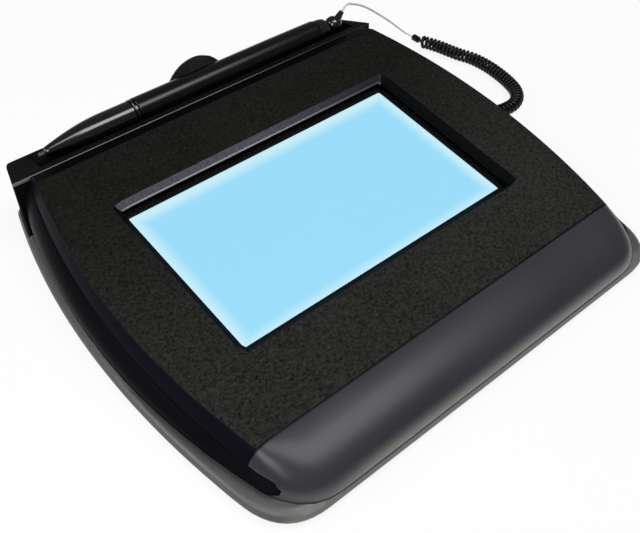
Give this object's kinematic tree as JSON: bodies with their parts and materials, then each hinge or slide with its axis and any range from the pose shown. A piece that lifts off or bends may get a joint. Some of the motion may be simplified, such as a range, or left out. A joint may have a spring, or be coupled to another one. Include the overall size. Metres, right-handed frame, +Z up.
{
  "type": "signature pad",
  "caption": "Counter-top signature pad: a low wedge casing round a lit screen, a pen lying in a rear tray and a curly tether.",
  "frame": {"origin": "on the table plane, under the middle of the casing's bounding box, cord left out", "axes": "+X to the user's right, +Y from the user's front edge to the pen tray, +Z up"},
  "size_m": [0.2225, 0.1718, 0.0362],
  "materials": {
    "casing_plastic": "finely grained black",
    "tray_plastic": "fine matte black",
    "base_plastic": "satin dark grey",
    "grip_plastic": "smooth satin black",
    "lens_glass": "clear hard-coated sheet",
    "gasket_foam": "thin black foam",
    "bezel_plastic": "black",
    "lit_screen": "lit pale blue",
    "guide_plastic": "clear moulded",
    "circuit_board": "green solder mask",
    "plain_steel": "plain plated",
    "chip_plastic": "black moulded",
    "flex_film": "amber film",
    "foot_rubber": "matte black",
    "cord_plastic": "satin black",
    "string_plastic": "grey coated line",
    "pen_gloss": "polished black",
    "pen_matte": "satin black",
    "copper_wire": "enamelled copper winding",
    "nib_plastic": "pale hard nylon"
  },
  "bodies": {
    "pad": {"top_cover": "casing_plastic", "pen_tray": "tray_plastic", "bottom_cover": "base_plastic", "side_grip_left": "grip_plastic", "side_grip_right": "grip_plastic", "window_lens": "lens_glass", "window_gasket": "gasket_foam", "lcd_bezel": "bezel_plastic", "lcd_panel": "lit_screen", "light_guide": "guide_plastic", "backlight_bar": "guide_plastic", "sensor_board": "circuit_board", "shield_plate": "plain_steel", "main_board": "circuit_board", "processor_chip": "chip_plastic", "driver_chip": "chip_plastic", "lcd_connector": "chip_plastic", "sensor_connector": "chip_plastic", "lcd_flex": "flex_film", "sensor_flex": "flex_film", "data_socket": "plain_steel", "tether_anchor": "cord_plastic", "tether_coil": "cord_plastic", "tether_crimp": "plain_steel", "tether_string": "string_plastic", "foot_front_left": "foot_rubber", "case_screw_front_left": "plain_steel", "board_screw_front_left": "plain_steel", "foot_front_right": "foot_rubber", "case_screw_front_right": "plain_steel", "board_screw_front_right": "plain_steel", "foot_rear_left": "foot_rubber", "case_screw_rear_left": "plain_steel", "board_screw_rear_left": "plain_steel", "foot_rear_right": "foot_rubber", "case_screw_rear_right": "plain_steel", "board_screw_rear_right": "plain_steel"},
    "pen": {"pen_nose": "pen_gloss", "pen_ring": "plain_steel", "pen_barrel": "pen_matte", "pen_end_cap": "pen_gloss", "pen_swivel": "plain_steel", "pen_coil": "copper_wire", "pen_board": "circuit_board"},
    "nib": {"pen_nib": "nib_plastic"}
  },
  "joints": [
    {"name": "pen_lift", "type": "slide", "parent": "pad", "child": "pen", "axis": [0, 0, 1], "range_m": [0, 0.06]},
    {"name": "nib_press", "type": "slide", "parent": "pen", "child": "nib", "axis": [1, 0, 0], "range_m": [0, 0.0006], "stiffness_N_per_m": 300, "springref_m": -0.001}
  ]
}
